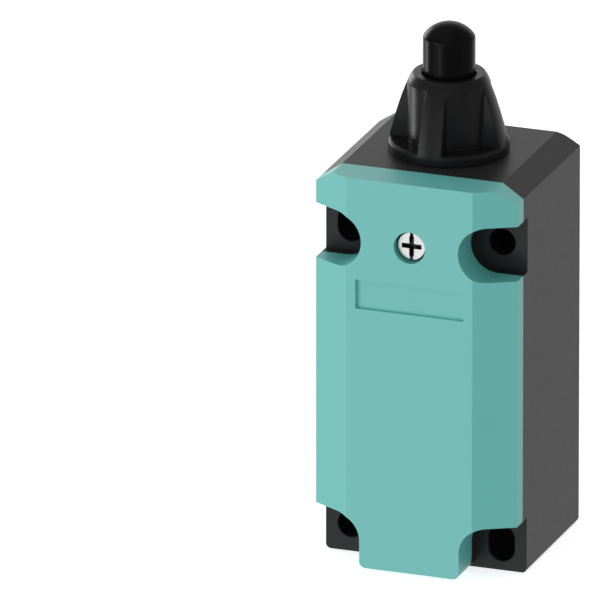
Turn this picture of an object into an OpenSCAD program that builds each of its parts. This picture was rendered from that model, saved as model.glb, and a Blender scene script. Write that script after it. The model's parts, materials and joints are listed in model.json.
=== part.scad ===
// Plunger-operated limit switch: die-cast housing, hinged front cover, ribbed
// plunger head and an internal contact block with two pairs of contacts.
// Frame: origin at the centre of the base, +X right, +Y to the rear, +Z up.

/* [Housing] */
// Width of the housing across its sides
body_w = 40; // [39:0.5:42]
// Height of the housing without the head
body_h = 78; // [76:0.5:80]
// Depth of the cover's flat front face from the back face
body_d = 39; // [38.5:0.5:41]
// Sideways size of the chamfers on the two top edges
chamfer_x = 4.1; // [2:0.1:5]
// Height of the chamfers on the two top edges
chamfer_z = 2.75; // [1.5:0.05:3.5]
// Thickness of the back wall
back_wall = 4; // [3:0.1:4.4]

/* [Cover] */
// Depth of the cover from its front face to the parting plane
cover_d = 7.3; // [6.8:0.1:7.6]
// Width of the flat band on the front of the cover
front_band_w = 25; // [22:0.5:28]
// How far the sloping facets fall back at the sides
facet_drop = 4.1; // [3:0.1:4.5]
// Half width of the tongue between the lower screw pads
tongue_half_w = 9.9; // [9:0.1:10.2]
// Depth of the blank label recess
label_depth = 0.8; // [0.4:0.1:1]

/* [Mounting] */
// Spacing of the mounting holes across the width
hole_pitch_x = 30; // [29:0.5:30.5]
// Spacing of the mounting holes along the height
hole_pitch_z = 60; // [58:0.5:60]
// Height of the lower mounting holes
hole_low_z = 5.4; // [5.2:0.1:6]
// Radius of the mounting holes
hole_r = 2.65; // [2.1:0.05:2.7]
// Length of the two slotted holes
slot_l = 7.3; // [6:0.1:7.6]
// Radius of the wall of the threaded conduit entry
conduit_r = 9.25; // [8:0.05:9.4]

/* [Head] */
// Distance of the plunger axis behind the centre of the base
axis_y = 2.4; // [2.2:0.1:2.6]
// Radius of the plunger
plunger_r = 4.95; // [4.8:0.05:5.05]
// Height of the top of the plunger's dome
plunger_top = 103; // [102:0.1:104]
// Height of the top of the guide
guide_top = 93.2; // [92.5:0.1:94]
// Full travel of the plunger
travel = 5.5; // [4:0.1:5.5]
// Radius of the round flange under the ribs
flange_r = 11.4; // [10.8:0.1:12]

/* [Contacts] */
// Travel of the contact carrier
carrier_travel = 1.65; // [1.2:0.05:1.65]
// Half width of the contact block
block_half_w = 15.5; // [15:0.1:16]
// Height of the underside of the contact block
block_low = 24; // [23.5:0.1:24.5]
// Height of the top of the contact block
block_high = 57; // [56.8:0.1:57.2]

/* [Hidden] */
$fn = 64;
eps = 0.01;
far = 60;

half_w = body_w / 2;
back_y = body_d / 2;
front_y = -body_d / 2;
part_y = front_y + cover_d;
pad_y = part_y + 2.3;
inner_back_y = back_y - back_wall;
hole_x = hole_pitch_x / 2;
hole_high_z = hole_low_z + hole_pitch_z;

// outline of the cover and of the raised rim that it closes on
corner_r = 1;
tongue_low = 0.7;
tongue_r = 1.2;
notch_r = 5.4;
pad_fillet_r = 5;
pad_top = hole_low_z + 5.65;
seal_out = 0.6;
seal_in = 1.5;
seal_depth = 1;
wall = 2.2;
cavity_low = 13.2;
cavity_high = 73;
cavity_neck_z = 62;
cavity_neck_half = 9.6;
cover_wall = 2.2;
web_low = 61.6;
web_high = 69;
web_back = -5.6;
conduit_end = 10;
fixing_core_r = 1.5;

// rounding of the housing's top rear edge
rear_break = [[0, 2.8], [0.15, 1.7], [0.6, 0.7], [1.5, 0]];

// blank recess on the front of the cover
label_half = 10.7;
label_low = 52.25;
label_high = 58;
boss_r = 4.7;

// hinge at the foot of the cover
hinge_y = front_y + 2.9;
hinge_z = 3.6;
bar_r = 1;
hook_in_r = 1.06;
hook_out_r = 1.85;
hook_x = 6.2;
hook_w = 2.6;
pocket_w = 3.4;
hook_arm = 0.95;
hook_gap = 0.25;

// cover screw
screw_z = 65.5;
screw_head_r = 2.65;
screw_hole_r = 3.1;
screw_sink = 1.3;
screw_head_l = 2.4;
screw_head_y = front_y + screw_sink;
screw_neck_y = screw_head_y + screw_head_l;
screw_core_r = 1.6;
screw_thread_r = 2.05;
screw_bite = 3.2;
ring_w = 1;

// head
wall_top = body_h - cavity_high;
neck_r = 7.4;
neck_low = 69.4;
clip_z = 71.45;
clip_t = 1.5;
clip_groove_r = 6.8;
bore_gap = 0.05;
spring_bore_r = 6.05;
collar_low = 82.5;
collar_high = 84.5;
collar_r = 5.9;
rod_r = 3;
stem_top = 63;
retainer_t = 1.2;
dome_r = 5.9;
barrel_r = 7.85;
barrel_high = 91.25;
foot_z = 80.2;
foot_round = 0.7;
// radius and height down the outside of the head, from the rim to the foot of the ribs
head_slope = [
    [6.77, guide_top], [7.35, 92.4], [barrel_r, barrel_high], [8.9, 88.5],
    [9.7, 86], [10.5, 83.3], [11.15, 80.8]
];
rib_foot_half = 2.4;
rib_top_half = 2;
wiper_low = 87;
wiper_high = 88.6;
wiper_r = 6.2;
rim_break = 0.4;
seal_r = 9.6;
seal_groove = 0.6;
clip_r = 8.9;
clip_leg = 6;

// contact block
base_front = -4;
chamber_half = 9.2;
chamber_back = 9;
chamber_low = 27;
chamber_high = 54;
strip_t = 0.8;
rivet_r = 1.2;
rivet_h = 0.6;
contact_x = 5;
nc_z = 47.4;
no_z = 35.8;
terminal_x = 12.4;
terminal_high = 50.5;
terminal_low = 33.5;
fixing_z = 42;
fixing_r = 1.45;
clamp_t = 1;
clamp_half_w = 2.5;
clamp_half_h = 2.7;
tab_half_h = 1.5;
pad_in = 9.9;
pad_out = 15.1;
pad_half_h = 3;
riser_in = 6.4;
riser_out = 7.2;
blade_in = 3.6;
blade_half_d = 1.8;
bridge_half_w = 6.4;
bridge_t = 0.6;
plate_t = 1.6;
plate_inset = 0.6;
window_half_w = 3.4;
window_h = 4.6;
stem_r = 2.5;
stem_foot_r = 3.2;
stem_foot_t = 1.2;
stem_bore_r = 1.75;
stem_bore_h = 6;
carrier_low = 36.4;
carrier_high = 48.6;
carrier_half_w = 2.6;
carrier_half_d = 3.1;
carrier_pin_r = 1.2;
carrier_pin_low = 25.8;
carrier_nose_r = 1;
carrier_slot_half_d = 1.9;
no_slot = [38.05, 41.4];
nc_slot = [42.4, 47];
contact_wire_r = 0.2;
contact_coil_r = 1.3;
earth_x = 13;
earth_z = 18.5;
earth_front = 8;
earth_post_r = 3.2;
earth_core_r = 1.55;
earth_clamp_half = 3;

housing_grey = [0.34, 0.345, 0.355];
cover_teal = [0.44, 0.73, 0.71];
plastic_black = [0.13, 0.13, 0.14];
steel = [0.78, 0.78, 0.8];
brass = [0.8, 0.66, 0.33];
rubber = [0.1, 0.1, 0.11];

// ---- helpers ----

// stands a flat shape in X and Z up between two depths
module slab(y0, y1) {
    translate([0, y1, 0])
        rotate([90, 0, 0])
            linear_extrude(height = y1 - y0)
                children();
}

// a round rod along +Y between two depths
module rod_y(x, z, r, y0, y1) {
    translate([x, y0, z])
        rotate([-90, 0, 0])
            cylinder(r = r, h = y1 - y0);
}

// a box given by two opposite corners
module block(low, high) {
    translate(low)
        cube(high - low);
}

// puts what stands on the origin onto the plunger axis
module on_axis(z) {
    translate([0, axis_y, z])
        children();
}

// a coil spring standing on z = 0, as one closed tube of flat facets
module coil(mean_r, wire_r, height, turns, steps = 16, sides = 6) {
    rings = turns * steps;
    rise = height - 2 * wire_r;
    points = [
        for (i = [0 : rings], k = [0 : sides - 1])
            let (a = 360 * i / steps, b = 360 * k / sides, r = mean_r + wire_r * cos(b))
                [r * cos(a), r * sin(a), wire_r + rise * i / rings + wire_r * sin(b)]
    ];
    skin = [
        for (i = [0 : rings - 1], k = [0 : sides - 1])
            let (n = (k + 1) % sides, p = i * sides)
                [p + k, p + sides + k, p + sides + n, p + n]
    ];
    ends = [
        [for (k = [0 : sides - 1]) k],
        [for (k = [sides - 1 : -1 : 0]) rings * sides + k]
    ];
    polyhedron(points = points, faces = concat(skin, ends));
}

// a screw head's slot and cross, cut from the face at y0
module drive(x, z, y0, reach, depth) {
    slot_w = 0.24 * reach;
    cross_w = 0.36 * reach;
    block([x - slot_w / 2, y0 - eps, z - reach], [x + slot_w / 2, y0 + 0.6 * depth, z + reach]);
    for (turn = [0, 90])
        translate([x, y0 - eps, z])
            rotate([0, turn, 0])
                translate([-0.74 * reach, 0, -cross_w / 2])
                    cube([1.48 * reach, depth, cross_w]);
}

// ---- outlines ----

// the full face drawn in by g: chamfered top corners, small round bottom corners
module face_outline(g = 0) {
    side = half_w - g;
    shoulder_x = half_w - chamfer_x - 0.5 * g;
    shoulder_z = body_h - chamfer_z - 0.4 * g;
    difference() {
        polygon([
            [-side, g], [side, g], [side, shoulder_z], [shoulder_x, body_h - g],
            [-shoulder_x, body_h - g], [-side, shoulder_z]
        ]);
        for (side = [-1, 1])
            difference() {
                translate([side * half_w, 0])
                    square(2 * corner_r, center = true);
                translate([side * (half_w - corner_r), corner_r])
                    circle(r = corner_r);
            }
    }
}

// the four places where the mounting screws sit, grown by g
module screw_pads(g = 0) {
    for (side = [-1, 1]) {
        translate([side * hole_x, hole_high_z])
            circle(r = notch_r + g);
        translate([side * (hole_x + far / 2), hole_high_z])
            square([far, 2 * (notch_r + g)], center = true);
        translate([side * (tongue_half_w + pad_fillet_r), pad_top - pad_fillet_r])
            circle(r = pad_fillet_r + g);
        translate([side * (tongue_half_w - g + far / 2), pad_top - pad_fillet_r - far / 2])
            square([far, far], center = true);
        translate([side * (tongue_half_w + pad_fillet_r + far / 2), pad_top + g - far / 2])
            square([far, far], center = true);
    }
}

// the cover's own outline, drawn in by g all round
module cover_outline(g = 0) {
    difference() {
        face_outline(g);
        screw_pads(g);
        translate([-far / 2, tongue_low + g - far])
            square([far, far]);
        for (side = [-1, 1])
            translate([side * (tongue_half_w - g), tongue_low + g])
                difference() {
                    square(2 * tongue_r, center = true);
                    translate([-side * tongue_r, tongue_r])
                        circle(r = tongue_r);
                    translate([-side * 2 * tongue_r, 0])
                        square(2 * tongue_r, center = true);
                    translate([0, 2 * tongue_r])
                        square([4 * tongue_r, 2 * tongue_r], center = true);
                }
    }
}

// the hollow inside housing and cover
module cavity_outline() {
    intersection() {
        cover_outline(wall);
        union() {
            translate([-half_w, cavity_low])
                square([body_w, cavity_neck_z - cavity_low]);
            translate([-cavity_neck_half, cavity_low])
                square([2 * cavity_neck_half, cavity_high - cavity_low]);
        }
    }
}

// the cover's section seen from above, set back by g
module cover_section(g = 0) {
    band = front_band_w / 2 - 0.4 * g;
    polygon([
        [-half_w, back_y], [-half_w, front_y + facet_drop + g], [-band, front_y + g],
        [band, front_y + g], [half_w, front_y + facet_drop + g], [half_w, back_y]
    ]);
}

// ---- housing and cover ----

module mounting_holes() {
    for (side = [-1, 1], high = [0, 1]) {
        z = high == 1 ? hole_high_z : hole_low_z;
        stretch = (side < 0) == (high == 1) ? slot_l / 2 - hole_r : 0;
        for (end = [-1, 1])
            rod_y(side * hole_x, z + end * stretch, hole_r, part_y, back_y + 1);
        if (stretch > 0)
            block(
                [side * hole_x - hole_r, part_y, z - stretch],
                [side * hole_x + hole_r, back_y + 1, z + stretch]
            );
    }
}

module hinge_hook(x) {
    difference() {
        union() {
            translate([x - hook_w / 2, hinge_y, hinge_z])
                rotate([0, 90, 0])
                    cylinder(r = hook_out_r, h = hook_w);
            block(
                [x - hook_w / 2, hinge_y, hinge_z - hook_arm],
                [x + hook_w / 2, part_y + eps, hinge_z + hook_arm]
            );
        }
        translate([x - hook_w / 2 - 1, hinge_y, hinge_z])
            rotate([0, 90, 0])
                cylinder(r = hook_in_r, h = hook_w + 2);
        translate([x, hinge_y, hinge_z])
            rotate([45, 0, 0])
                translate([-hook_w, -0.75, -far])
                    cube([2 * hook_w, 1.5, far]);
    }
}

// what the rounding takes off the top rear edge
module rear_edge_cut() {
    arc = [for (p = rear_break) [back_y - p[0], body_h - p[1]]];
    outside = [[arc[3][0], body_h + 1], [back_y + 1, body_h + 1], [back_y + 1, arc[0][1]]];
    translate([-half_w - 1, 0, 0])
        rotate([90, 0, 90])
            linear_extrude(height = body_w + 2)
                polygon(concat(arc, outside));
}

module housing() {
    color(housing_grey) {
        difference() {
            union() {
                slab(pad_y, back_y)
                    face_outline();
                slab(part_y, pad_y)
                    cover_outline();
            }
            difference() {
                slab(part_y - 1, inner_back_y)
                    cavity_outline();
                // web that takes the cover screw
                block([-half_w, part_y - 1, web_low], [half_w, web_back, web_high]);
            }
            slab(part_y - 1, part_y + seal_depth)
                difference() {
                    cover_outline(seal_out);
                    cover_outline(seal_in);
                }
            mounting_holes();
            on_axis(cavity_high - 1)
                cylinder(r = neck_r + bore_gap, h = wall_top + 2);
            on_axis(-1)
                cylinder(r = conduit_r, h = cavity_low + 2);
            on_axis(conduit_end)
                cylinder(r = conduit_r + 0.75, h = cavity_low - conduit_end + 1);
            rod_y(0, screw_z, screw_thread_r, part_y - 1, part_y + screw_bite + 1);
            for (side = [-1, 1])
                rod_y(side * terminal_x, fixing_z, fixing_core_r, inner_back_y - 1, inner_back_y + 3);
            rear_edge_cut();
        }
        for (side = [-1, 1])
            hinge_hook(side * hook_x);
    }
}

// room behind the tongue for one hinge hook through its whole swing
module hinge_pocket(x) {
    reach = hook_arm + hook_gap;
    translate([x - pocket_w / 2, hinge_y, hinge_z])
        rotate([0, 90, 0])
            cylinder(r = hook_out_r + 0.2, h = pocket_w);
    block(
        [x - pocket_w / 2, hinge_y - reach, -1],
        [x + pocket_w / 2, part_y + 1, hinge_z + reach]
    );
}

module cover() {
    heel_r = part_y - hinge_y;
    color(cover_teal) {
        difference() {
            intersection() {
                slab(front_y, part_y)
                    cover_outline();
                linear_extrude(height = body_h)
                    cover_section();
            }
            // hollow, with a boss left round the cover screw
            difference() {
                intersection() {
                    slab(front_y + cover_wall, part_y + 1)
                        cavity_outline();
                    linear_extrude(height = body_h)
                        cover_section(cover_wall);
                }
                rod_y(0, screw_z, boss_r, front_y, part_y);
            }
            block([-label_half, front_y - 1, label_low], [label_half, front_y + label_depth, label_high]);
            rod_y(0, screw_z, screw_hole_r, front_y - 1, screw_neck_y + ring_w);
            rod_y(0, screw_z, screw_thread_r + 0.1, front_y, part_y + 1);
            for (side = [-1, 1])
                hinge_pocket(side * hook_x);
            // heel rounded off so that it clears the housing as the cover swings
            difference() {
                block([-half_w, hinge_y, -1], [half_w, part_y + 1, hinge_z]);
                translate([-half_w, hinge_y, hinge_z])
                    rotate([0, 90, 0])
                        cylinder(r = heel_r, h = body_w);
            }
        }
        for (side = [-1, 1])
            translate([side * hook_x - pocket_w / 2 - 0.2, hinge_y, hinge_z])
                rotate([0, 90, 0])
                    cylinder(r = bar_r, h = pocket_w + 0.4);
    }
}

module cover_gasket() {
    color(rubber)
        slab(part_y, part_y + seal_depth)
            difference() {
                cover_outline(seal_out);
                cover_outline(seal_in);
            }
}

module cover_screw() {
    color(steel)
        difference() {
            union() {
                rod_y(0, screw_z, screw_head_r, screw_head_y, screw_neck_y);
                rod_y(0, screw_z, screw_core_r, screw_head_y, part_y + screw_bite);
            }
            drive(0, screw_z, screw_head_y, screw_head_r, 1.4);
        }
}

module cover_screw_ring() {
    color(rubber)
        difference() {
            rod_y(0, screw_z, screw_hole_r - 0.06, screw_neck_y, screw_neck_y + ring_w - 0.05);
            rod_y(0, screw_z, screw_core_r + 0.02, screw_neck_y - 1, screw_neck_y + ring_w + 1);
        }
}

// ---- head ----

// a strip that narrows upwards, standing out along +X, for one rib of the guide
module rib_strip() {
    rotate([90, 0, 90])
        linear_extrude(height = far)
            polygon([
                [-rib_foot_half, foot_z - 1], [rib_foot_half, foot_z - 1],
                [rib_top_half, guide_top], [-rib_top_half, guide_top]
            ]);
}

module plunger_guide() {
    bore_r = plunger_r + bore_gap;
    rim = [flange_r - 0.2 * foot_round, foot_z - 0.4 * foot_round];
    color(plastic_black)
        translate([0, axis_y, 0])
            difference() {
                union() {
                    // neck, flange, barrel and rim
                    rotate_extrude()
                        polygon([
                            [0, neck_low], [neck_r, neck_low], [neck_r, clip_z],
                            [clip_groove_r, clip_z], [clip_groove_r, cavity_high], [neck_r, cavity_high],
                            [neck_r, body_h], [flange_r, body_h], [flange_r, foot_z - foot_round],
                            rim, [flange_r - foot_round, foot_z], [barrel_r, foot_z], head_slope[2],
                            head_slope[1], head_slope[0], [0, guide_top]
                        ]);
                    for (turn = [0 : 90 : 270])
                        intersection() {
                            rotate_extrude()
                                polygon(concat([[0, guide_top]], head_slope, [rim, [0, foot_z - 1]]));
                            rotate([0, 0, turn])
                                rib_strip();
                        }
                }
                // stepped bore with the groove of the wiper and a broken rim
                rotate_extrude()
                    polygon([
                        [0, neck_low - 1], [spring_bore_r, neck_low - 1], [spring_bore_r, collar_high],
                        [bore_r, collar_high], [bore_r, wiper_low], [wiper_r, wiper_low],
                        [wiper_r, wiper_high], [bore_r, wiper_high], [bore_r, guide_top - rim_break],
                        [bore_r + rim_break, guide_top + eps], [0, guide_top + eps]
                    ]);
                // groove of the flange seal
                translate([0, 0, body_h - 1])
                    difference() {
                        cylinder(r = seal_r + seal_groove, h = 2);
                        translate([0, 0, -1])
                            cylinder(r = seal_r - seal_groove, h = 4);
                    }
            }
}

module head_seal() {
    color(rubber)
        on_axis(body_h + 0.5)
            rotate_extrude()
                translate([seal_r, 0])
                    circle(r = 0.5, $fn = 24);
}

// fork that slides into the neck's groove from the front
module head_lock_clip() {
    color(steel)
        on_axis(cavity_high - clip_t)
            linear_extrude(height = clip_t)
                difference() {
                    union() {
                        circle(r = clip_r);
                        translate([-clip_r, 0])
                            square([2 * clip_r, clip_leg]);
                    }
                    circle(r = clip_groove_r + 0.06);
                    translate([-clip_groove_r - 0.06, 0])
                        square([2 * (clip_groove_r + 0.06), 20]);
                }
}

module plunger() {
    dome_centre = plunger_top - dome_r;
    color(plastic_black)
        translate([0, axis_y, 0]) {
            // body with its domed end
            intersection() {
                union() {
                    translate([0, 0, dome_centre])
                        sphere(r = dome_r, $fn = 96);
                    translate([0, 0, collar_high - eps])
                        cylinder(r = plunger_r, h = dome_centre - collar_high);
                }
                translate([0, 0, collar_high - eps])
                    cylinder(r = plunger_r, h = plunger_top);
            }
            translate([0, 0, collar_low])
                cylinder(r = collar_r, h = collar_high - collar_low);
            translate([0, 0, stem_top])
                cylinder(r = rod_r, h = collar_low - stem_top + eps);
        }
}

module plunger_seal() {
    color(rubber)
        on_axis(wiper_low + 0.05)
            difference() {
                cylinder(r = wiper_r - 0.05, h = wiper_high - wiper_low - 0.1);
                translate([0, 0, -1])
                    cylinder(r = plunger_r + 0.04, h = 4);
            }
}

module return_spring() {
    low = neck_low + retainer_t;
    color(steel)
        on_axis(low)
            coil(4.9, 0.5, collar_low - low, 5.5);
}

module spring_retainer() {
    color(steel)
        on_axis(neck_low)
            difference() {
                cylinder(r = spring_bore_r, h = retainer_t);
                translate([0, 0, -1])
                    cylinder(r = rod_r + 0.3, h = retainer_t + 2);
            }
}

// ---- contact block ----

module contact_block_base() {
    color(plastic_black)
        difference() {
            block([-block_half_w, base_front, block_low], [block_half_w, inner_back_y, block_high]);
            block(
                [-chamber_half, base_front - 1, chamber_low],
                [chamber_half, chamber_back, chamber_high]
            );
            on_axis(chamber_high - 1)
                cylinder(r = stem_r + bore_gap, h = 10);
            on_axis(block_low - 1)
                cylinder(r = carrier_pin_r + bore_gap, h = 10);
            for (side = [-1, 1]) {
                rod_y(side * terminal_x, fixing_z, fixing_core_r, base_front - 1, inner_back_y + 1);
                for (z = [terminal_low, terminal_high])
                    rod_y(side * terminal_x, z, 1.8, base_front - 1, 4);
            }
        }
}

module contact_block_cover() {
    half = chamber_half + 0.1;
    plate_back = base_front - strip_t;
    low = block_low + plate_inset;
    high = block_high - plate_inset;
    // feet that stand on the base between the contact strips, as height and length
    feet = [[low, 1.8], [fixing_z - 2, 4], [high - 1.8, 1.8]];
    color([0.75, 0.74, 0.7])
        difference() {
            union() {
                block([-half, plate_back - plate_t, low], [half, plate_back, high]);
                for (foot = feet)
                    block([-half, plate_back, foot[0]], [half, base_front, foot[0] + foot[1]]);
            }
            // inspection windows over the contacts
            for (z = [nc_z - 4.6, no_z - 1.6])
                block(
                    [-window_half_w, plate_back - 3, z],
                    [window_half_w, plate_back + 3, z + window_h]
                );
        }
}

module switch_stem() {
    low = chamber_high - stem_foot_t;
    color([0.86, 0.85, 0.8])
        on_axis(low)
            difference() {
                union() {
                    cylinder(r = stem_r, h = stem_top - low);
                    cylinder(r = stem_foot_r, h = stem_foot_t);
                }
                translate([0, 0, -1])
                    cylinder(r = stem_bore_r, h = chamber_high + stem_bore_h - low + 1);
            }
}

module transfer_spring() {
    color(steel)
        on_axis(carrier_high)
            coil(1.4, 0.2, chamber_high + stem_bore_h - carrier_high, 8);
}

module contact_carrier() {
    color([0.7, 0.2, 0.16])
        translate([0, axis_y, 0])
            difference() {
                union() {
                    block(
                        [-carrier_half_w, -carrier_half_d, carrier_low],
                        [carrier_half_w, carrier_half_d, carrier_high]
                    );
                    translate([0, 0, carrier_pin_low])
                        cylinder(r = carrier_pin_r, h = carrier_low - carrier_pin_low + eps);
                    translate([0, 0, carrier_high - eps])
                        cylinder(r = carrier_nose_r, h = 1.2);
                }
                for (slot = [no_slot, nc_slot])
                    block([-4, -carrier_slot_half_d, slot[0]], [4, carrier_slot_half_d, slot[1]]);
            }
}

module block_return_spring() {
    color(steel)
        on_axis(chamber_low)
            coil(2.1, 0.25, carrier_low - chamber_low, 6);
}

// a moving contact strip whose two rivets end at contact_z, facing up or down
module bridge(contact_z, facing) {
    strip_z = facing > 0 ? contact_z - rivet_h - bridge_t : contact_z + rivet_h;
    rivet_z = facing > 0 ? contact_z - rivet_h : contact_z;
    block(
        [-bridge_half_w, axis_y - blade_half_d, strip_z],
        [bridge_half_w, axis_y + blade_half_d, strip_z + bridge_t]
    );
    for (side = [-1, 1])
        translate([side * contact_x, axis_y, rivet_z])
            cylinder(r = rivet_r, h = rivet_h);
}

module nc_bridge() {
    color(brass)
        bridge(nc_z, 1);
}

module no_bridge() {
    color(brass)
        bridge(no_z + carrier_travel, -1);
}

module nc_contact_spring() {
    color(steel)
        on_axis(nc_slot[0])
            coil(contact_coil_r, contact_wire_r, nc_z - rivet_h - bridge_t - nc_slot[0], 3.5);
}

module no_contact_spring() {
    low = no_z + carrier_travel + rivet_h + bridge_t;
    color(steel)
        on_axis(low)
            coil(contact_coil_r, contact_wire_r, no_slot[1] - low, 3);
}

// a block that lies between two distances from the middle, on one side
module side_block(side, near, distant, low_yz, high_yz) {
    x = side > 0 ? near : -distant;
    block([x, low_yz[0], low_yz[1]], [x + distant - near, high_yz[0], high_yz[1]]);
}

// one folded terminal strip: screw pad, tab, riser, blade and contact rivet
module fixed_contact(side, terminal_z, contact_z, facing) {
    front = base_front - strip_t;
    blade_z = facing < 0 ? contact_z + rivet_h : contact_z - rivet_h - strip_t;
    tab_low = terminal_z - tab_half_h;
    tab_high = terminal_z + tab_half_h;
    blade_back = axis_y + blade_half_d;
    difference() {
        side_block(
            side, pad_in, pad_out, [front, terminal_z - pad_half_h], [base_front, terminal_z + pad_half_h]
        );
        rod_y(side * terminal_x, terminal_z, 1.55, front - 1, base_front + 1);
    }
    side_block(side, riser_in, pad_in + eps, [front, tab_low], [base_front, tab_high]);
    side_block(
        side, riser_in, riser_out,
        [front, min(blade_z, tab_low)], [blade_back, max(blade_z + strip_t, tab_high)]
    );
    side_block(
        side, blade_in, riser_out,
        [axis_y - blade_half_d, blade_z], [blade_back, blade_z + strip_t]
    );
    translate([side * contact_x, axis_y, facing < 0 ? contact_z : contact_z - rivet_h])
        cylinder(r = rivet_r, h = rivet_h);
}

module nc_fixed_contacts() {
    color(brass)
        for (side = [-1, 1])
            fixed_contact(side, terminal_high, nc_z, -1);
}

module no_fixed_contacts() {
    color(brass)
        for (side = [-1, 1])
            fixed_contact(side, terminal_low, no_z, 1);
}

// a slotted and crossed clamping screw whose head rests on the plane y1
module clamp_screw(x, z, y1, head_r, head_l, shank_r, shank_end) {
    difference() {
        union() {
            rod_y(x, z, head_r, y1 - head_l, y1);
            rod_y(x, z, shank_r, y1 - eps, shank_end);
        }
        drive(x, z, y1 - head_l, head_r, 0.6 * head_l);
    }
}

module terminal_clamps() {
    back = base_front - strip_t;
    color(steel)
        for (side = [-1, 1], z = [terminal_low, terminal_high])
            difference() {
                block(
                    [side * terminal_x - clamp_half_w, back - clamp_t, z - clamp_half_h],
                    [side * terminal_x + clamp_half_w, back, z + clamp_half_h]
                );
                rod_y(side * terminal_x, z, 1.65, back - 2, back + 1);
            }
}

module terminal_screws() {
    color(steel)
        for (side = [-1, 1], z = [terminal_low, terminal_high])
            clamp_screw(side * terminal_x, z, base_front - strip_t - clamp_t, 2.3, 1.8, 1.5, 2);
}

module block_fixing_screws() {
    color(steel)
        for (side = [-1, 1])
            clamp_screw(side * terminal_x, fixing_z, base_front, 2.5, 1.9, fixing_r, inner_back_y + 2.6);
}

// spacer pressed against the back wall, tapped for the earth screw
module earth_post() {
    color(brass)
        difference() {
            rod_y(earth_x, earth_z, earth_post_r, earth_front, inner_back_y);
            rod_y(earth_x, earth_z, earth_core_r, earth_front - 1, inner_back_y - 0.4);
        }
}

module earth_clamp() {
    half = earth_clamp_half;
    color(steel)
        difference() {
            block(
                [earth_x - half, earth_front - clamp_t, earth_z - half],
                [earth_x + half, earth_front, earth_z + half]
            );
            rod_y(earth_x, earth_z, 1.65, earth_front - 2, earth_front + 1);
        }
}

module earth_screw() {
    color(brass)
        clamp_screw(earth_x, earth_z, earth_front - clamp_t, 2.7, 2, 1.5, 14.5);
}

housing();
cover();
cover_gasket();
cover_screw();
cover_screw_ring();
plunger_guide();
head_seal();
head_lock_clip();
plunger();
plunger_seal();
return_spring();
spring_retainer();
contact_block_base();
contact_block_cover();
switch_stem();
transfer_spring();
contact_carrier();
block_return_spring();
nc_bridge();
no_bridge();
nc_contact_spring();
no_contact_spring();
nc_fixed_contacts();
no_fixed_contacts();
terminal_clamps();
terminal_screws();
block_fixing_screws();
earth_post();
earth_clamp();
earth_screw();
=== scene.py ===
"""The looks of a plunger limit switch: materials, softened edges, springs, lights, floor and camera."""
import json
import math

import bmesh
import bpy
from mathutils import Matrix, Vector


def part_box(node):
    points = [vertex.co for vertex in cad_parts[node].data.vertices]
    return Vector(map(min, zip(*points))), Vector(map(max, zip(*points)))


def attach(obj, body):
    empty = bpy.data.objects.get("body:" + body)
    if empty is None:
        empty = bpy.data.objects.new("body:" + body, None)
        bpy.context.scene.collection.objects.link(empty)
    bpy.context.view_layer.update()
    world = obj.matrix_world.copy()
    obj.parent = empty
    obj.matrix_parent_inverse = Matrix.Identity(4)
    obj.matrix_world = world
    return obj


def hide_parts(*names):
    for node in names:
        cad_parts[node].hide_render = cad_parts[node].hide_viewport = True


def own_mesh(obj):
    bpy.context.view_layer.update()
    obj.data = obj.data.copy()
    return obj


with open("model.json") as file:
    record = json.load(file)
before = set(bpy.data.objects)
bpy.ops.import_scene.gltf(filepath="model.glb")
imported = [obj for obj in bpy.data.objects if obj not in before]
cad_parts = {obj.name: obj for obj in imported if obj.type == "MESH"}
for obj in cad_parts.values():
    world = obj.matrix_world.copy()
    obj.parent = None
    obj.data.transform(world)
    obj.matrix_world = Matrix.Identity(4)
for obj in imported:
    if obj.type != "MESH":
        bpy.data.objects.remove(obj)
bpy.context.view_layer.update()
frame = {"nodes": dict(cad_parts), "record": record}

MM = 0.001
nodes = frame["nodes"]


# ---------------------------------------------------------------- materials

TEAL = (0.168, 0.640, 0.606)
GREY = (0.0275, 0.0278, 0.0290)
BLACK = (0.0032, 0.0032, 0.0035)
# painted shade for the walls of the deep mounting bores, then how rough those walls are
BORE_PAINTED_SHADE = (0.004, 0.004, 0.004)
BORE_ROUGHNESS = 0.85

# mounting bores, whose walls get painted shade: between which distances from the middle they lie sideways, how
# high the upper and lower pair are, how far above and below that they reach, and from where to where they run
# in depth
BORE_SIDE = (12.1 * MM, 17.9 * MM)
BORE_HEIGHTS = (65.4 * MM, 5.4 * MM)
BORE_REACH = 3.9 * MM
BORE_DEPTH = (-9.4 * MM, 19.1 * MM)

# cover screw: middle of its face, how far out its slot and cross reach, and from where to where they get
# painted shade, measured down from the face
SCREW_FACE = (0, -18.2 * MM, 65.5 * MM)
SCREW_REACH = 2.55 * MM
SCREW_SHADE = (0.15 * MM, 1.5 * MM)


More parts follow.
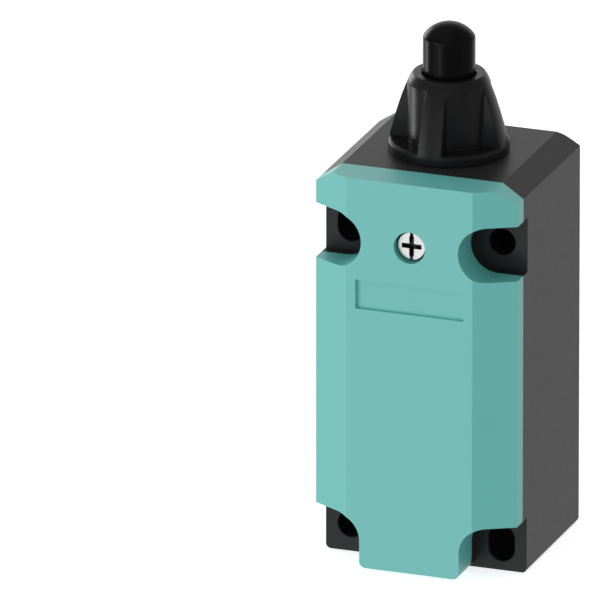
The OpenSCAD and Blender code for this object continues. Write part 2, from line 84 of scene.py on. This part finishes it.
class Graph:
    """A material's node tree, with short calls that add and join nodes."""

    def __init__(self, name, material=None):
        self.material = material or bpy.data.materials.new(name)
        self.material.use_nodes = True
        self.tree = self.material.node_tree
        self.shader = self.tree.nodes["Principled BSDF"]
        self.place = self.add("ShaderNodeTexCoord").outputs["Object"]

    def add(self, kind, **settings):
        made = self.tree.nodes.new(kind)
        for key, value in settings.items():
            setattr(made, key, value)
        return made

    def join(self, source, target):
        """Links an output to a node's input, or to the shader's input of that name."""
        if isinstance(target, str):
            target = self.shader.inputs[target]
        self.tree.links.new(source, target)

    def noise(self, grain, detail):
        """Noise with grains of that size in metres, as a value from 0 to 1."""
        made = self.add("ShaderNodeTexNoise")
        made.inputs["Scale"].default_value = 1.0 / grain
        made.inputs["Detail"].default_value = detail
        made.inputs["Roughness"].default_value = 0.55
        self.join(self.place, made.inputs["Vector"])
        return made.outputs["Fac"]

    def ramp(self, value, low, high, out_low, out_high):
        """The value's stretch from low to high, mapped to the stretch from out_low to out_high."""
        made = self.add("ShaderNodeMapRange")
        for key, number in (("From Min", low), ("From Max", high), ("To Min", out_low), ("To Max", out_high)):
            made.inputs[key].default_value = number
        self.join(value, made.inputs["Value"])
        return made.outputs["Result"]

    def mix(self, factor, first, second):
        """The first colour at factor 0 and the second at 1. Each is a tuple or an output."""
        made = self.add("ShaderNodeMix", data_type="RGBA")
        self.join(factor, made.inputs[0])
        for colour, index in ((first, 6), (second, 7)):
            if isinstance(colour, tuple):
                made.inputs[index].default_value = (*colour, 1.0)
            else:
                self.join(colour, made.inputs[index])
        return made.outputs[2]

    def bump(self, height, distance, under=None):
        made = self.add("ShaderNodeBump")
        made.inputs["Distance"].default_value = distance
        made.inputs["Strength"].default_value = 1.0
        self.join(height, made.inputs["Height"])
        if under:
            self.join(under, made.inputs["Normal"])
        return made.outputs["Normal"]

    def span(self, value, low, high):
        """1 where the value is between low and high, 0 outside, with soft ends."""
        blur = 0.1 * MM
        above = self.ramp(value, low - blur, low + blur, 0, 1)
        below = self.ramp(value, high - blur, high + blur, 1, 0)
        return self.combine("MULTIPLY", above, below)

    def combine(self, operation, *values):
        """The values put together by one operation, such as MULTIPLY or MAXIMUM."""
        total = values[0]
        for value in values[1:]:
            made = self.add("ShaderNodeMath", operation=operation)
            self.join(total, made.inputs[0])
            self.join(value, made.inputs[1])
            total = made.outputs["Value"]
        return total

    def absolute(self, value):
        made = self.add("ShaderNodeMath", operation="ABSOLUTE")
        self.join(value, made.inputs[0])
        return made.outputs["Value"]

    def distance(self, centre, flatten):
        """How far the surface is from a point, along the axes that flatten leaves."""
        flat = self.add("ShaderNodeVectorMath", operation="MULTIPLY")
        flat.inputs[1].default_value = flatten
        self.join(self.place, flat.inputs[0])
        made = self.add("ShaderNodeVectorMath", operation="DISTANCE")
        made.inputs[1].default_value = [c * f for c, f in zip(centre, flatten)]
        self.join(flat.outputs["Vector"], made.inputs[0])
        return made.outputs["Value"]

    def axis(self, name):
        made = self.add("ShaderNodeSeparateXYZ")
        self.join(self.place, made.inputs["Vector"])
        return made.outputs[name]


def tint(colour, factor):
    return tuple(min(1.0, c * factor) for c in colour)


def coated(name, colour, roughness, peel=0.7 * MM, specular=0.5):
    """Painted or moulded surface: fine grain, faint tone changes and an uneven gloss."""
    graph = Graph(name)
    cloud = graph.noise(9 * MM, detail=3)
    grain = graph.noise(peel, detail=2)
    fleck = graph.noise(0.12 * MM, detail=2)
    tone = graph.mix(graph.ramp(cloud, 0.3, 0.7, 0, 1), tint(colour, 0.99), tint(colour, 1.01))
    tone = graph.mix(graph.ramp(fleck, 0.35, 0.7, 0, 0.12), tone, tint(colour, 0.8))
    graph.join(tone, "Base Color")
    graph.join(graph.ramp(grain, 0.3, 0.7, roughness - 0.02, roughness + 0.02), "Roughness")
    graph.shader.inputs["Specular IOR Level"].default_value = specular
    graph.join(graph.bump(grain, 0.004 * MM, under=graph.bump(fleck, 0.001 * MM)), "Normal")
    return graph.material


def scratched(name, colour, roughness, paint):
    """Metal with fine scratches. What paint(graph, scratch, colour) returns is its colour."""
    graph = Graph(name)
    scratch = graph.noise(0.15 * MM, detail=3)
    graph.join(paint(graph, scratch, colour), "Base Color")
    graph.shader.inputs["Metallic"].default_value = 1.0
    graph.join(graph.ramp(scratch, 0.3, 0.7, roughness - 0.06, roughness + 0.1), "Roughness")
    graph.join(graph.bump(scratch, 0.002 * MM), "Normal")
    return graph.material


def clouded(graph, scratch, colour):
    """A slow change of tone over plated or drawn metal."""
    return graph.mix(graph.noise(3 * MM, detail=3), tint(colour, 0.93), tint(colour, 1.05))


def shaded_drive(graph, scratch, colour):
    """Screw metal with painted shade in the slot and cross, which go down from the screw's face: they are
    darkened as their depth would shade them.
    """
    inside = graph.ramp(graph.distance(SCREW_FACE, (1, 0, 1)), SCREW_REACH - 0.1 * MM, SCREW_REACH, 1, 0)
    below = graph.span(graph.axis("Y"), SCREW_FACE[1] + SCREW_SHADE[0], SCREW_FACE[1] + SCREW_SHADE[1])
    shine = graph.mix(scratch, tint(colour, 0.93), tint(colour, 1.05))
    # painted shade: the slot and cross get a twentieth of the metal's colour
    return graph.mix(graph.combine("MULTIPLY", inside, below), shine, tint(colour, 0.05))


def shade_bores(material):
    """Paints shade on the walls of the four mounting bores, darkening them as their depth would, and makes
    them dull.
    """
    graph = Graph(material.name, material)
    across = graph.span(graph.absolute(graph.axis("X")), *BORE_SIDE)
    deep = graph.span(graph.axis("Y"), *BORE_DEPTH)
    rows = [graph.span(graph.axis("Z"), z - BORE_REACH, z + BORE_REACH) for z in BORE_HEIGHTS]
    bore = graph.combine("MULTIPLY", across, deep, graph.combine("MAXIMUM", *rows))
    paint = graph.shader.inputs["Base Color"].links[0].from_socket
    # painted shade: the bore walls are mixed towards near-black
    graph.join(graph.mix(bore, paint, BORE_PAINTED_SHADE), "Base Color")
    gloss = graph.shader.inputs["Roughness"].links[0].from_socket
    dull = graph.add("ShaderNodeMix", data_type="FLOAT")
    graph.join(bore, dull.inputs[0])
    graph.join(gloss, dull.inputs[2])
    dull.inputs[3].default_value = BORE_ROUGHNESS
    graph.join(dull.outputs[0], "Roughness")
    return material


MATERIALS = {
    "housing_paint": shade_bores(coated("housing_paint", GREY, 0.40, specular=0.18)),
    "cover_paint": coated("cover_paint", TEAL, 0.44, specular=0.8),
    "head_plastic": coated("head_plastic", tint(BLACK, 3.4), 0.3, peel=0.35 * MM, specular=0.18),
    "plunger_plastic": coated("plunger_plastic", BLACK, 0.24, peel=0.4 * MM, specular=0.09),
    "block_plastic": coated("block_plastic", (0.016, 0.016, 0.018), 0.5, peel=0.3 * MM),
    "ivory_plastic": coated("ivory_plastic", (0.62, 0.58, 0.47), 0.45, peel=0.3 * MM),
    "red_plastic": coated("red_plastic", (0.45, 0.035, 0.022), 0.42, peel=0.3 * MM),
    "seal_rubber": coated("seal_rubber", (0.012, 0.012, 0.012), 0.75, peel=0.2 * MM, specular=0.35),
    "plated_steel": scratched("plated_steel", (0.50, 0.50, 0.51), 0.36, clouded),
    "cover_screw_steel": scratched("cover_screw_steel", (0.62, 0.62, 0.62), 0.38, shaded_drive),
    "spring_steel": scratched("spring_steel", (0.52, 0.52, 0.53), 0.3, clouded),
    "contact_brass": scratched("contact_brass", (0.66, 0.47, 0.20), 0.33, clouded),
}


# ---------------------------------------------------------------- softened edges

# width of the round on each node's sharp edges
EDGES = {
    "housing": 0.3 * MM, "cover": 0.35 * MM, "plunger_guide": 0.2 * MM, "plunger": 0.25 * MM,
    "cover_screw": 0.08 * MM, "cover_gasket": 0.15 * MM, "cover_screw_ring": 0.06 * MM,
    "head_seal": 0.1 * MM, "head_lock_clip": 0.08 * MM, "plunger_seal": 0.1 * MM,
    "spring_retainer": 0.1 * MM, "contact_block_base": 0.2 * MM, "contact_block_cover": 0.2 * MM,
    "switch_stem": 0.12 * MM, "contact_carrier": 0.12 * MM, "nc_bridge": 0.06 * MM,
    "no_bridge": 0.06 * MM, "nc_fixed_contacts": 0.08 * MM, "no_fixed_contacts": 0.08 * MM,
    "terminal_clamps": 0.12 * MM, "terminal_screws": 0.08 * MM, "block_fixing_screws": 0.1 * MM,
    "earth_post": 0.1 * MM, "earth_clamp": 0.1 * MM, "earth_screw": 0.08 * MM,
}


def soften(piece, width):
    """Gives a CAD node's sharp edges a small round and smooth shading, without touching its mesh."""
    weld = piece.modifiers.new("weld", "WELD")
    weld.merge_threshold = 1e-6
    flat = piece.modifiers.new("flat", "DECIMATE")
    flat.decimate_type = "DISSOLVE"
    flat.angle_limit = math.radians(0.4)
    rounding = piece.modifiers.new("rounding", "BEVEL")
    rounding.width = width
    rounding.segments = 3
    rounding.limit_method = "ANGLE"
    rounding.angle_limit = math.radians(28)
    rounding.harden_normals = False
    rounding.miter_outer = "MITER_ARC"
    shading = piece.modifiers.new("shading", "WEIGHTED_NORMAL")
    shading.mode = "FACE_AREA"
    shading.weight = 100
    shading.keep_sharp = False
    for face in piece.data.polygons:
        face.use_smooth = True


def finish_nodes():
    """Gives each CAD node its material, and a round on its edges if it has one in EDGES."""
    finish = {entry["node"]: entry["material_slot"] for entry in frame["record"]["subparts"]}
    finish["cover_screw"] = "cover_screw_steel"
    for name, piece in nodes.items():
        piece.data.materials.clear()
        piece.data.materials.append(MATERIALS[finish[name]])
        if name in EDGES:
            soften(piece, EDGES[name])


# ---------------------------------------------------------------- coil springs

# depth of the axis that plunger, stem, carrier and springs share
AXIS_Y = 2.4 * MM
POINTS_PER_TURN = 36
WIRE_SIDES = 10


def coil_points(mean_r, low, high, wire_r, turns):
    """The middle of the wire, with half a flat turn at each end."""
    middle_low, middle_high = low + wire_r, high - wire_r
    points = []
    for i in range(int(turns * POINTS_PER_TURN) + 1):
        turn = i / POINTS_PER_TURN
        share = min(1.0, max(0.0, (turn - 0.5) / (turns - 1.0)))
        angle = 2 * math.pi * turn
        height = middle_low + share * (middle_high - middle_low)
        points.append(Vector((mean_r * math.cos(angle), AXIS_Y + mean_r * math.sin(angle), height)))
    return points


def wire_mesh(name, points, wire_r):
    """A closed round wire along the points of a coil."""
    mesh = bmesh.new()
    rings = []
    for i, point in enumerate(points):
        along = (points[min(i + 1, len(points) - 1)] - points[max(i - 1, 0)]).normalized()
        outward = Vector((point.x, point.y - AXIS_Y, 0)).normalized()
        upward = along.cross(outward).normalized()
        ring = []
        for k in range(WIRE_SIDES):
            angle = 2 * math.pi * k / WIRE_SIDES
            offset = wire_r * (math.cos(angle) * outward + math.sin(angle) * upward)
            ring.append(mesh.verts.new(point + offset))
        rings.append(ring)
    for first, second in zip(rings, rings[1:]):
        for k in range(WIRE_SIDES):
            n = (k + 1) % WIRE_SIDES
            mesh.faces.new((first[k], second[k], second[n], first[n]))
    mesh.faces.new(rings[0])
    mesh.faces.new(list(reversed(rings[-1])))
    bmesh.ops.recalc_face_normals(mesh, faces=mesh.faces)
    data = bpy.data.meshes.new(name)
    mesh.to_mesh(data)
    mesh.free()
    for face in data.polygons:
        face.use_smooth = True
    return data


def coil_spring(node, body, mean_r, wire_r, turns):
    """A round wire coil between the heights of the CAD node that it stands for."""
    low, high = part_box(node)[0][2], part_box(node)[1][2]
    name = node + "_coil"
    piece = bpy.data.objects.new(name, wire_mesh(name, coil_points(mean_r, low, high, wire_r, turns), wire_r))
    piece.data.materials.append(MATERIALS["spring_steel"])
    bpy.context.scene.collection.objects.link(piece)
    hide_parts(node)
    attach(piece, body)
    return piece


def build_springs():
    """The five springs, each a coil in place of its CAD node and hung on the body that carries it."""
    coil = coil_spring("return_spring", "housing", 4.9 * MM, 0.5 * MM, 5.5)
    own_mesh(coil)
    coil = coil_spring("transfer_spring", "switch_stem", 1.4 * MM, 0.2 * MM, 8)
    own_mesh(coil)
    coil = coil_spring("block_return_spring", "housing", 2.1 * MM, 0.25 * MM, 6)
    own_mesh(coil)
    coil_spring("nc_contact_spring", "contact_carrier", 1.3 * MM, 0.2 * MM, 3.5)
    coil_spring("no_contact_spring", "contact_carrier", 1.3 * MM, 0.2 * MM, 3)


# ---------------------------------------------------------------- floor and light

# the floor's own glow, and the surroundings: how bright they are on the bright side, behind the
# object, and in the rest of the room
FLOOR_GLOW = 0.75
WORLD_FRONT = 0.38
WORLD_REAR = 1.16
BRIGHT_SIDE = (-0.28, 0.95, -0.18)

# softboxes: place of the middle in metres, side of the square in metres, power in watts
SOFTBOXES = {
    "key_left": ((-1.2, -1.5, 0.0), 0.8, 8.9),
    "key_front": ((0.0, -1.9, 0.2), 0.8, 2.6),
    "key_low": ((-0.65, -1.75, -0.68), 0.6, 2.6),
    "key_right": ((1.35, -1.4, 0.1), 0.8, 0.7),
    "side_left": ((-1.8, 0.15, -0.5), 0.45, 3.7),
    "side_right": ((1.8, -0.2, 0.0), 0.8, 1.0),
    "rear_left": ((-1.5, 1.0, 0.3), 0.8, 6.5),
    "above": ((-0.3, -0.3, 1.8), 2.0, 3.4),
}
LIT_POINT = Vector((0, 0, 0.05))


def build_floor():
    """A pale floor with a little glow of its own, so that it stays white round the object."""
    graph = Graph("floor")
    speck = graph.noise(0.02, detail=3)
    graph.join(graph.mix(speck, (0.90, 0.90, 0.90), (0.93, 0.93, 0.93)), "Base Color")
    graph.shader.inputs["Roughness"].default_value = 0.9
    graph.shader.inputs["Emission Color"].default_value = (1, 1, 1, 1)
    graph.shader.inputs["Emission Strength"].default_value = FLOOR_GLOW
    just_below = -0.00002
    bpy.ops.mesh.primitive_plane_add(size=12, location=(0, 0, just_below))
    floor = bpy.context.object
    floor.name = "floor"
    floor.data.materials.append(graph.material)
    floor.visible_glossy = False
    floor.visible_diffuse = False
    floor.visible_shadow = False


def area_light(name, place, side, power):
    """A soft square lamp that faces the middle of the object."""
    data = bpy.data.lights.new(name, "AREA")
    data.shape = "SQUARE"
    data.size = side
    data.energy = power
    lamp = bpy.data.objects.new(name, data)
    lamp.location = place
    lamp.rotation_euler = (LIT_POINT - Vector(place)).to_track_quat("-Z", "Y").to_euler()
    bpy.context.scene.collection.objects.link(lamp)


def build_surroundings():
    """Surroundings that light the object from behind more than from the front."""
    world = bpy.data.worlds.new("studio")
    bpy.context.scene.world = world
    world.use_nodes = True
    tree = world.node_tree
    background = tree.nodes["Background"]
    background.inputs["Color"].default_value = (1, 1, 1, 1)
    direction = tree.nodes.new("ShaderNodeTexCoord")
    nearness = tree.nodes.new("ShaderNodeVectorMath")
    nearness.operation = "DOT_PRODUCT"
    nearness.inputs[1].default_value = Vector(BRIGHT_SIDE).normalized()
    glow = tree.nodes.new("ShaderNodeMapRange")
    glow.interpolation_type = "SMOOTHSTEP"
    for key, number in (("From Min", 0.4), ("From Max", 1.0), ("To Min", WORLD_FRONT), ("To Max", WORLD_REAR)):
        glow.inputs[key].default_value = number
    tree.links.new(direction.outputs["Generated"], nearness.inputs[0])
    tree.links.new(nearness.outputs["Value"], glow.inputs["Value"])
    # what the camera sees of the surroundings is as pale as the floor
    seen = tree.nodes.new("ShaderNodeMath")
    seen.operation = "ADD"
    tree.links.new(glow.outputs["Result"], seen.inputs[0])
    tree.links.new(tree.nodes.new("ShaderNodeLightPath").outputs["Is Camera Ray"], seen.inputs[1])
    tree.links.new(seen.outputs["Value"], background.inputs["Strength"])


def build_light():
    """The surroundings and the softboxes, shown without a film look."""
    build_surroundings()
    for name, (place, side, power) in SOFTBOXES.items():
        area_light(name, place, side, power)
    bpy.context.scene.view_settings.view_transform = "Standard"


# ---------------------------------------------------------------- camera

AZIMUTH = math.radians(20.0)
ELEVATION = math.radians(20.0)
CAMERA_DISTANCE = 4.994
# the object's middle, and how far to its left and below it the camera aims
OBJECT_MIDDLE = Vector((0, 0, 0.0515))
AIM_LEFT = 0.02704
AIM_BELOW = 0.00273


def build_camera():
    """Looks down on the right-hand front corner, from far off through a long lens."""
    level = math.cos(ELEVATION)
    forward = Vector((-math.sin(AZIMUTH) * level, math.cos(AZIMUTH) * level, -math.sin(ELEVATION)))
    right = Vector((math.cos(AZIMUTH), math.sin(AZIMUTH), 0))
    up = right.cross(forward)
    data = bpy.data.cameras.new("camera")
    data.lens = 1600
    data.sensor_width = 36
    data.clip_end = 50
    camera = bpy.data.objects.new("camera", data)
    camera.location = OBJECT_MIDDLE - AIM_LEFT * right - AIM_BELOW * up - CAMERA_DISTANCE * forward
    camera.rotation_euler = forward.to_track_quat("-Z", "Y").to_euler()
    bpy.context.scene.collection.objects.link(camera)
    bpy.context.scene.camera = camera


finish_nodes()
build_springs()
build_floor()
build_light()
build_camera()
